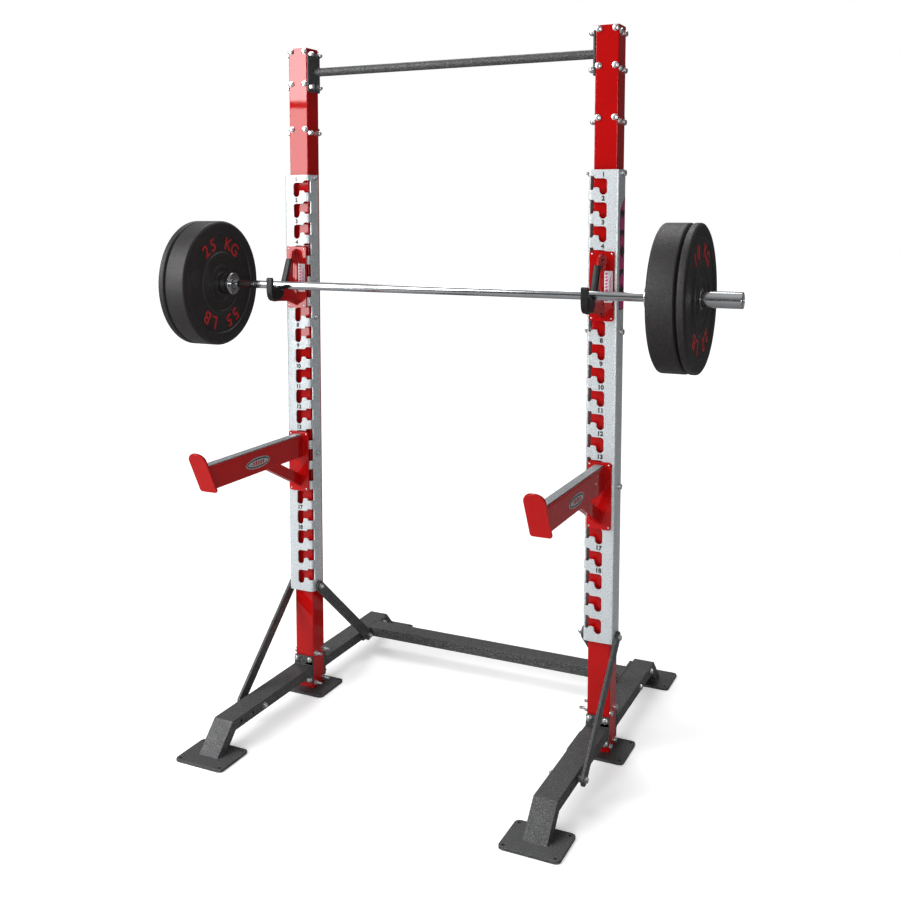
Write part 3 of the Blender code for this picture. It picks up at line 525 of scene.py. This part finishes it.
def frame_fasteners():
    """The bolts of the uprights' tops and bases, the rails, the braces and the cross-member."""
    bolt_off = 0.0275
    front_rows = [TOP - drop for drop in (0.011, 0.125, 0.286)]
    side_rows = [TOP - drop for drop in (0.022, 0.137, 0.299)]
    foot_rows, leg_rows = (0.1435, 0.029), (0.122, 0.0455)
    bar_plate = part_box("pull_up_bar")
    plate_t = UPRIGHT_X["right"] - UPRIGHT_HALF - (bar_plate[1].x - 0.006)
    for side, sign in SIDES.items():
        x = UPRIGHT_X[side]
        spots = []
        for z in front_rows:
            for s in (-1, 1):
                spots.append(("head", (x + s * bolt_off, -UPRIGHT_HALF, z), (0, -1, 0)))
                spots.append(("dome_nut", (x + s * bolt_off, UPRIGHT_HALF, z), (0, 1, 0)))
        for index, z in enumerate(side_rows):
            inner = UPRIGHT_HALF + (plate_t if index < 2 else 0)
            for s in (-1, 1):
                spots.append(("head", (x + sign * UPRIGHT_HALF, s * bolt_off, z), (sign, 0, 0)))
                spots.append(("dome_nut", (x - sign * inner, s * bolt_off, z), (-sign, 0, 0)))
        fasteners(f"top_bolts_{side}", "rack", spots)

        spots = []
        for z in leg_rows:
            for s in (-1, 1):
                spots.append(("head", (x + s * bolt_off, -FLANGE_FRONT, z), (0, -1, 0)))
                spots.append(("nut", (x + s * bolt_off, FLANGE_FRONT, z), (0, 1, 0)))
        for z in foot_rows:
            for s in (-1, 1):
                spots.append(("head", (x + sign * UPRIGHT_HALF, s * bolt_off, z), (sign, 0, 0)))
                spots.append(("long_nut", (x - sign * UPRIGHT_HALF, s * bolt_off, z), (-sign, 0, 0)))
        fasteners(f"base_bolts_{side}", "rack", spots)

        spots, names = [], []
        for index in (1, 2, 3):
            names.append(f"rail_bolt_{side}_{index}")
            at = middle(names[-1])
            spots.append(("raised_head", (x + sign * RAIL_HALF, at.y, at.z), (sign, 0, 0)))
            spots.append(("nut", (x - sign * RAIL_HALF, at.y, at.z), (-sign, 0, 0)))
        fasteners(f"rail_bolts_{side}", "rack", spots, names)

        spots, names = [], []
        outer = abs(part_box(f"front_brace_{side}")[0 if sign < 0 else 1].x - x)
        inner = abs(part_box(f"rear_brace_{side}")[1 if sign < 0 else 0].x - x)
        flange = abs(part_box("cross_member")[0 if sign < 0 else 1].x - x) + 0.010
        grips = {"brace_top_bolt": (outer, inner), "front_brace_bolt": (outer, LEG_HALF),
                 "rear_brace_bolt": (LEG_HALF, inner), "cross_member_bolt": (LEG_HALF, flange)}
        for kind, (out, back) in grips.items():
            names.append(f"{kind}_{side}")
            at = middle(names[-1])
            spots.append(("head", (x + sign * out, at.y, at.z), (sign, 0, 0)))
            spots.append(("nut", (x - sign * back, at.y, at.z), (-sign, 0, 0)))
        fasteners(f"brace_bolts_{side}", "rack", spots, names)


# ---------------------------------------------------------------- rack
def steelwork():
    """The frame's welded pieces, with rounded edges."""
    for side in SIDES:
        refined(f"upright_{side}", 0.0012)
        refined(f"slotted_rail_{side}", 0.0007)
        refined(f"centre_foot_{side}", 0.0010)
        for name in ("front_leg", "rear_leg"):
            refined(f"{name}_{side}", 0.0016, 3)
        for name in ("front_brace", "rear_brace"):
            refined(f"{name}_{side}", 0.0010)
    refined("cross_member", 0.0016, 3)
    refined("pull_up_bar", 0.0008)


def bead(points, radius=0.0022):
    """A weld bead: a tube along a line, with the ripples of the weld pool."""
    curve = bpy.data.curves.new("bead", "CURVE")
    curve.dimensions = "3D"
    curve.bevel_depth = radius
    curve.bevel_resolution = 2
    curve.use_fill_caps = True
    step = 0.0016
    path = []
    for a, b in zip(points, points[1:]):
        a, b = Vector(a), Vector(b)
        count = max(2, int((b - a).length / step))
        path += [a.lerp(b, i / count) for i in range(count)]
    path.append(Vector(points[-1]))
    spline = curve.splines.new("POLY")
    spline.points.add(len(path) - 1)
    for index, (point, at) in enumerate(zip(spline.points, path)):
        point.co = (*at, 1)
        point.radius = 1.0 if index % 2 else 0.84
    obj = bpy.data.objects.new("bead", curve)
    SCENE.collection.objects.link(obj)
    return as_mesh(obj, "bead")


def rail_numbers():
    """Stencilled numbers 1 to 18 above the slots, and none where a plate covers them."""
    first, pitch, above = RAIL_HIGH.z - 0.0667, 0.0752, 0.0520
    for side in SIDES:
        cup_low, cup_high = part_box(f"jcup_bracket_{side}")
        arm_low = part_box(f"safety_arm_{side}")[0].z
        covers = ((cup_low.z, cup_high.z), (arm_low, arm_low + ARM_PLATE))
        digits = []
        for number in range(1, 19):
            z = first - pitch * (number - 1) + above
            if any(low - 0.007 < z < high + 0.007 for low, high in covers):
                continue
            mesh = lettering(str(number), 0.0140, 0.00015, bold=0.0011)
            mesh.transform(Matrix.Translation((UPRIGHT_X[side], RAIL_LOW.y, z)) @ ALONG_FRONT)
            digits.append(mesh)
        place(f"rail_numbers_{side}", grouped(digits), "rack", "rail_paint", "stencil_black")


def rail_decal():
    """A plain chevron decal with a slanted top, down the right rail's outer flange."""
    face = UPRIGHT_X["right"] + RAIL_HALF
    low, high = RAIL_LOW.z + 1.092, RAIL_HIGH.z - 0.080
    front, back = RAIL_LOW.y + 0.014, RAIL_HIGH.y - 0.0012
    base = flat("YZ", [(front, low), (back, low), (back, high), (front, high - 0.050)],
                face + 0.00002, face + 0.00022)
    place("rail_decal_base", base, "rack", "rail_paint", "stencil_black")
    shapes, edge, pitch = [], 0.0045, 0.062
    a, b = front + edge, back - edge
    middle_y, rise, count = (a + b) / 2, 0.018, int((high - low - 0.05) / pitch)
    for index in range(count):
        z = low + edge + pitch * index
        top = z + pitch - 2.2 * edge
        if index % 2:
            outline = [(a, z), (middle_y, z + rise), (b, z),
                       (b, top - rise), (middle_y, top), (a, top - rise)]
        else:
            outline = [(a, z), (b, z), (b, top), (middle_y, top - rise), (a, top)]
        shapes.append(flat("YZ", outline, face + 0.0002, face + 0.0004))
    z = low + edge + pitch * count
    shapes.append(flat("YZ", [(a, z), (b, z), (b, high - edge * 2), (a, high - 0.050 - edge)],
                       face + 0.0002, face + 0.0004))
    place("rail_decal_shapes", grouped(shapes), "rack", "rail_paint", "print_magenta")


# ---------------------------------------------------------------- J-cups and arms
def rivets(name, body, spots, radius=0.0034):
    """Small dome rivets at the given points, facing -Y."""
    dome = turned([(0.0016, 0), (0.0014, radius * 0.55), (0.0008, radius * 0.9), (0.0, radius),
                   (-0.0008, radius), (-0.0008, 0)], 24)
    shade(place(name, grouped([stood(dome, at, (0, -1, 0)) for at in spots]), body, "zinc_plate"), 50)


def plate_rivets(side, node, body):
    """A rivet near each corner of a backing plate."""
    low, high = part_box(node)
    x, half, inset = UPRIGHT_X[side], 0.0412, 0.009
    bottom, top = low.z, high.z
    if node.startswith("safety_arm"):
        top = bottom + ARM_PLATE
    spots = [(x + s * (half - inset), PLATE_FRONT, z)
             for s in (-1, 1) for z in (bottom + inset, top - inset)]
    rivets(f"{body}_rivets", body, spots)


def eased_block(outline, x, width, ease):
    """A block across X whose outline edges are rounded over by the given radius."""
    return flat("YZ", outline, x - width / 2, x + width / 2, ease=ease)


def j_cup(side):
    """Bracket, the rounded guard behind the bar, the fat rubbery hook liner, rivets, screws and welds."""
    body, x = f"jcup_{side}", UPRIGHT_X[side]
    refined(f"jcup_bracket_{side}", 0.0010)
    low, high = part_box(f"jcup_bracket_{side}")
    web = 0.005                                     # half the thickness of the profile plate

    g_low, g_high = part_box(f"jcup_guard_{side}")
    lean, thick = math.tan(math.radians(23.7)), 0.0109
    foot, head = g_low.y + 0.0001, g_low.y + 0.0001 + lean * (g_high.z - g_low.z - 0.006)
    outline = [(foot + thick, g_low.z), (head + thick, g_high.z - 0.006)]
    outline += arc((head + thick / 2, g_high.z - 0.0062), thick / 2, 0, 180, 10)[1:]
    outline += [(foot, g_low.z)]
    mesh = eased_block(outline, x, g_high.x - g_low.x, 0.0042)
    shade(place(f"jcup_guard_{side}_finished", mesh, body, "black_nylon",
                replaced=[f"jcup_guard_{side}"]), 50)

    liner = refined(f"jcup_liner_{side}", 0.0042, 5)
    liner.modifiers["edges"].angle_limit = math.radians(62)

    plate_rivets(side, f"jcup_bracket_{side}", body)
    sticker(side, body)
    seams = [bead([(x + s * (web + 0.0005), PLATE_FRONT - 0.0005, low.z + 0.012),
                   (x + s * (web + 0.0005), PLATE_FRONT - 0.0005, high.z - 0.012)]) for s in (-1, 1)]
    shade(place(f"jcup_welds_{side}", grouped(seams), body, "red_powder_coat"), 60)
    screw = turned([(0.0012, 0), (0.0012, 0.0012), (0.0018, 0.0016), (0.0018, 0.0034), (0.0010, 0.0042),
                    (-0.0004, 0.0042), (-0.0004, 0)], 24)
    spots = [(high.z - 0.028, -0.075), (low.z + 0.024, -0.078)]
    screws = [stood(screw, (x + s * web, y, z), (s, 0, 0)) for z, y in spots for s in (-1, 1)]
    shade(place(f"jcup_screws_{side}", grouped(screws), body, "zinc_plate", "black_nylon"), 30)


def sticker(side, body):
    """A generic white label: a column of magenta dashes beside a panel of slanted lines."""
    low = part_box(f"jcup_bracket_{side}")[0]
    front, skin = PLATE_FRONT, 0.00025
    x0 = UPRIGHT_X[side] + 0.0088
    x1, z0, z1 = x0 + 0.0275, low.z + 0.060, low.z + 0.160
    label = flat("XZ", [(x0, z0), (x1, z0), (x1, z1), (x0, z1)], front - skin, front - 0.00002)
    place(f"jcup_label_{side}", label, body, "red_powder_coat", "label_white")
    near, far = front - 2 * skin, front - 0.9 * skin
    blocks = []
    for index in range(9):
        z = z0 + 0.004 + 0.0104 * index
        wide = 0.0068 if index % 3 else 0.0085
        blocks.append(flat("XZ", [(x0 + 0.0035, z), (x0 + 0.0035 + wide, z + 0.0012),
                                  (x0 + 0.0035 + wide, z + 0.0072), (x0 + 0.0035, z + 0.0058)], near, far))
    for index in range(5):
        z, shift = z0 + 0.012 + 0.0125 * index, 0.0012 * index
        blocks.append(flat("XZ", [(x0 + 0.0150, z), (x0 + 0.0172, z), (x1 - 0.0030, z + 0.0180 + shift),
                                  (x1 - 0.0052, z + 0.0180 + shift)], near, far))
    place(f"jcup_label_print_{side}", grouped(blocks), body, "red_powder_coat", "print_magenta")


def safety_arm(side):
    """Arm and wear strip with eased edges, rivets, and an oval badge of plain bars on its outer face."""
    body, node = f"arm_{side}", f"safety_arm_{side}"
    refined(node, 0.0012)
    refined(f"arm_wear_strip_{side}", 0.0010)
    plate_rivets(side, node, body)
    face = UPRIGHT_X[side] + 0.020
    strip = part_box(f"arm_wear_strip_{side}")
    y, z = -0.354, strip[0].z - 0.042
    layers = (("rim", 0.142, 0.038, 0.0, 0.0009, "badge_silver"),
              ("line", 0.134, 0.031, 0.0008, 0.0013, "stencil_black"),
              ("field", 0.122, 0.022, 0.0012, 0.0017, "badge_silver"))
    for label, width, height, low, high, look in layers:
        mesh = flat("YZ", ellipse((y, z), width, height), face + low, face + high)
        place(f"arm_badge_{label}_{side}", mesh, body, "red_powder_coat", look)
    bars = [flat("YZ", [(y + u - 0.0045, z - 0.006), (y + u + 0.0035, z - 0.006), (y + u + 0.0065, z + 0.006),
                        (y + u - 0.0015, z + 0.006)], face + 0.0016, face + 0.0020)
            for u in (-0.028, -0.014, 0.0, 0.014, 0.028)]
    place(f"arm_badge_bars_{side}", grouped(bars), body, "red_powder_coat", "print_red")


# ---------------------------------------------------------------- barbell and plates
def along_bar(mesh, sign=1):
    """A mesh made along +Z laid along the bar, its +Z pointing outwards on the given side."""
    mesh.transform(Matrix.Translation((0, BAR.y, BAR.z)) @ Matrix.Rotation(sign * math.pi / 2, 4, "Y"))
    return mesh


def barbell():
    """The shaft, and on each side the sleeve with its collar and the dished end cap."""
    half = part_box("bar_shaft")[1].x
    profile = rounded_profile([(half, 0), (half, 0.014), (-half, 0.014), (-half, 0)], 0.001, 3)
    shade(place("bar_shaft_finished", along_bar(turned(profile, 48)), "barbell", "bar_chrome",
                replaced=["bar_shaft"]))
    for side, sign in SIDES.items():
        low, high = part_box(f"bar_sleeve_{side}")
        inner, outer = sorted((abs(low.x), abs(high.x)))
        collar_r, sleeve_r, bore = (high.z - low.z) / 2, 0.025, 0.0185
        points = [(outer, bore), (outer, sleeve_r), (inner + 0.050, sleeve_r), (inner + 0.050, collar_r),
                  (inner, collar_r), (inner, 0.0143), (inner + 0.006, 0.0143), (inner + 0.006, bore)]
        mesh = along_bar(turned(rounded_profile(points, 0.0025, 4), 96), sign)
        shade(place(f"bar_sleeve_{side}_finished", mesh, f"sleeve_{side}", "bar_chrome",
                    replaced=[f"bar_sleeve_{side}"]), 25)
        points = [(outer - 0.0035, 0), (outer - 0.0035, 0.0155), (outer - 0.0022, 0.0182),
                  (outer - 0.0060, 0.0182), (outer - 0.0060, 0)]
        mesh = along_bar(turned(points, 64), sign)
        shade(place(f"sleeve_cap_{side}_finished", mesh, f"sleeve_{side}", "zinc_plate",
                    replaced=[f"sleeve_cap_{side}"]), 25)


def weight_plate(kind, side, sign, words):
    """Rubber disc: bevelled rim, recessed band with raised red figures, hub disc and steel insert."""
    node = f"{kind}_plate_{side}"
    low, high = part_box(node)
    start, end = sorted((abs(low.x), abs(high.x)))
    radius = (high.z - low.z) / 2
    recess = 0.006 if kind == "thick" else 0.004
    hub_r, band_in, band_out = 0.0323, 0.112, 0.182
    # (depth in from the face, radius), from the hub outwards
    face = [(0.0, hub_r), (0.0, 0.038), (0.0030, 0.0400), (0.0030, 0.0570), (0.0006, 0.0590),
            (0.0006, 0.0640), (0.0030, 0.0660), (0.0030, 0.100), (0.0, 0.102), (0.0, 0.110),
            (recess, band_in + 0.003), (recess, band_out - 0.003), (0.0, band_out), (0.0, radius - 0.009),
            (0.0045, radius - 0.0015), (0.0075, radius)]
    points = [(end - u, r) for u, r in face]
    points += [(start + u, r) for u, r in face[::-1]]
    mesh = along_bar(turned(rounded_profile(points, 0.0012, 2), 128), sign)
    shade(place(f"{node}_finished", mesh, node, "crumb_rubber", replaced=[node]), 40)
    hub = [(end - 0.0005, 0.0256), (end - 0.0005, hub_r - 0.0003), (start + 0.0005, hub_r - 0.0003),
           (start + 0.0005, 0.0256)]
    mesh = along_bar(turned(rounded_profile(hub, 0.0012, 3), 64), sign)
    shade(place(f"{kind}_plate_hub_{side}_finished", mesh, node, "hub_steel",
                replaced=[f"{kind}_plate_hub_{side}"]), 30)
    figures = []
    for out in (1, -1):
        at = end - recess + 0.0004 if out > 0 else start + recess - 0.0004
        outward = sign * out
        for word, turn in zip(words, (0, 180)):
            figures += arc_text(word, sign * at, outward, (band_in + band_out) / 2, turn)
    place(f"{node}_figures", grouped(figures), node, "crumb_rubber", "print_red")


def arc_text(text, x, outward, radius, turn):
    """Text round the disc's band, centred on the top or the bottom, read from outside the face."""
    pitch, height = 18, 0.046
    made = []
    for index, letter in enumerate(text):
        if letter == " ":
            continue
        lean = math.radians((index - (len(text) - 1) / 2) * pitch + turn)
        mesh = lettering(letter, height, 0.0006, bold=0.0008)
        mesh.transform(Matrix.Rotation(-lean, 4, "Z") @ Matrix.Translation((0, radius, 0)))
        stand = Matrix.Rotation(outward * math.pi / 2, 4, "Z") @ Matrix.Rotation(math.pi / 2, 4, "X")
        mesh.transform(Matrix.Translation((x, BAR.y, BAR.z)) @ stand)
        made.append(mesh)
    return made


# ---------------------------------------------------------------- camera, light and floor
def camera():
    """The viewpoint: from the front right, looking slightly down, framed by shift."""
    data = bpy.data.cameras.new("camera")
    data.sensor_width = 36.0
    data.lens = 44.4625
    data.shift_x, data.shift_y = 0.04027, -0.15222
    obj = bpy.data.objects.new("camera", data)
    SCENE.collection.objects.link(obj)
    yaw, pitch, roll = 0.4613, 0.0943, -0.0026
    forward = Vector((-math.sin(yaw) * math.cos(pitch), math.cos(yaw) * math.cos(pitch), -math.sin(pitch)))
    right = Vector((math.cos(yaw), math.sin(yaw), 0))
    up = right.cross(forward)
    right, up = (right * math.cos(roll) + up * math.sin(roll), up * math.cos(roll) - right * math.sin(roll))
    turn = Matrix((right, up, -forward)).transposed().to_4x4()
    obj.matrix_world = Matrix.Translation((1.5996 + RACK_X, -3.4740, 1.8058)) @ turn
    SCENE.camera = obj


def area_light(name, at, target, size, level):
    """A soft box whose level is the light at its target, where 1 shows a white card as white."""
    reach = (Vector(target) - Vector(at)).length
    data = bpy.data.lights.new(name, "AREA")
    data.shape = "RECTANGLE"
    data.size, data.size_y = size
    data.energy = level * (math.pi * reach) ** 2
    obj = bpy.data.objects.new(name, data)
    SCENE.collection.objects.link(obj)
    obj.location = at
    obj.rotation_euler = (Vector(target) - Vector(at)).to_track_quat("-Z", "Y").to_euler()


def light():
    """White to the eye, an even fill, and a dark room with a bright ceiling for the glossy surfaces."""
    world = bpy.data.worlds.new("studio")
    SCENE.world = world
    world.use_nodes = True
    tree = world.node_tree
    seen = tree.nodes["Background"]
    seen.inputs["Color"].default_value = (1, 1, 1, 1)
    fill, room = (tree.nodes.new("ShaderNodeBackground") for _ in range(2))
    fill.inputs["Strength"].default_value = 0.20
    fill.inputs["Color"].default_value = (1, 1, 1, 1)
    path = tree.nodes.new("ShaderNodeLightPath")
    coords, split, ramp = (tree.nodes.new(kind) for kind in ("ShaderNodeTexCoord", "ShaderNodeSeparateXYZ",
                                                              "ShaderNodeValToRGB"))
    for element, (at, grey) in zip(ramp.color_ramp.elements, ((0.12, 0.07), (0.85, 0.60))):
        element.position = at
        element.color = (grey, grey, grey, 1)
    tree.links.new(coords.outputs["Generated"], split.inputs[0])
    tree.links.new(split.outputs["Z"], ramp.inputs["Fac"])
    tree.links.new(ramp.outputs["Color"], room.inputs["Color"])
    glossy, camera_mix = (tree.nodes.new("ShaderNodeMixShader") for _ in range(2))
    tree.links.new(path.outputs["Is Glossy Ray"], glossy.inputs[0])
    tree.links.new(fill.outputs[0], glossy.inputs[1])
    tree.links.new(room.outputs[0], glossy.inputs[2])
    tree.links.new(path.outputs["Is Camera Ray"], camera_mix.inputs[0])
    tree.links.new(glossy.outputs[0], camera_mix.inputs[1])
    tree.links.new(seen.outputs[0], camera_mix.inputs[2])
    tree.links.new(camera_mix.outputs[0], tree.nodes["World Output"].inputs["Surface"])
    heart = (0, 0, 1.1)
    area_light("key", (-4.2, -4.8, 4.8), heart, (4.5, 4.5), 0.86)
    area_light("top", (-1.2, 2.6, 6.0), heart, (3.0, 3.0), 0.45)
    area_light("side", (2.6, -6.6, 1.8), heart, (2.4, 2.4), 0.26)
    # tall narrow boxes that put the bright reflection down the left upright's front
    strips = (("strip_low", 0.86, 1.90), ("strip_mid", 1.98, 2.52), ("strip_high", 2.575, 3.10))
    for name, low, high in strips:
        spot = (-2.74, -3.47, (low + high) / 2)
        area_light(name, spot, (UPRIGHT_X["left"], 0, spot[2]), (0.7, high - low), 0.14 * (high - low))


def floor():
    """A pale floor that brightens with distance, so that it runs into the white background."""
    mesh = bpy.data.meshes.new("floor")
    shape = bmesh.new()
    bmesh.ops.create_circle(shape, cap_ends=True, segments=96, radius=40.0)
    shape.to_mesh(mesh)
    shape.free()
    obj = bpy.data.objects.new("floor", mesh)
    SCENE.collection.objects.link(obj)
    s = Shader("floor", (0.9, 0.9, 0.905), 0.6)
    s.set("Emission Color", (1, 1, 1, 1))
    pale = s.ramp(s.noise(3, 2), (0.3, (0.88, 0.88, 0.885)), (0.7, (0.91, 0.91, 0.915)))
    path = s.node("ShaderNodeLightPath")
    # seen by glossy rays the floor is painted dark grey: painted shade in its reflections on the shiny parts,
    # while the eye sees it pale
    s.colour(s.mix(path.outputs["Is Glossy Ray"], pale, (0.34, 0.34, 0.345)))
    far = s.node("ShaderNodeVectorMath", operation="LENGTH")
    s.link(s.coords, far.inputs[0])
    span = s.node("ShaderNodeMapRange")
    for socket, value in (("From Min", 1.5), ("From Max", 9.0), ("To Min", 0.42), ("To Max", 0.9)):
        span.inputs[socket].default_value = value
    s.link(far.outputs["Value"], span.inputs["Value"])
    seen = s.node("ShaderNodeMath", operation="MULTIPLY")
    s.link(span.outputs["Result"], seen.inputs[0])
    s.link(path.outputs["Is Camera Ray"], seen.inputs[1])
    s.link(seen.outputs[0], s.bsdf.inputs["Emission Strength"])
    mesh.materials.append(s.mat)


steelwork()
rail_numbers()
rail_decal()
frame_fasteners()
for SIDE, SIGN in SIDES.items():
    j_cup(SIDE)
    safety_arm(SIDE)
    weight_plate("thick", SIDE, SIGN, ("25 KG", "55 LB"))
    weight_plate("thin", SIDE, SIGN, ("10 KG", "22 LB"))
barbell()
for NODE, OBJ in frame["nodes"].items():
    OBJ.data.materials.clear()
    OBJ.data.materials.append(MATERIALS[SLOT_OF[NODE]])
camera()
light()
floor()
SCENE.view_settings.view_transform = "Standard"
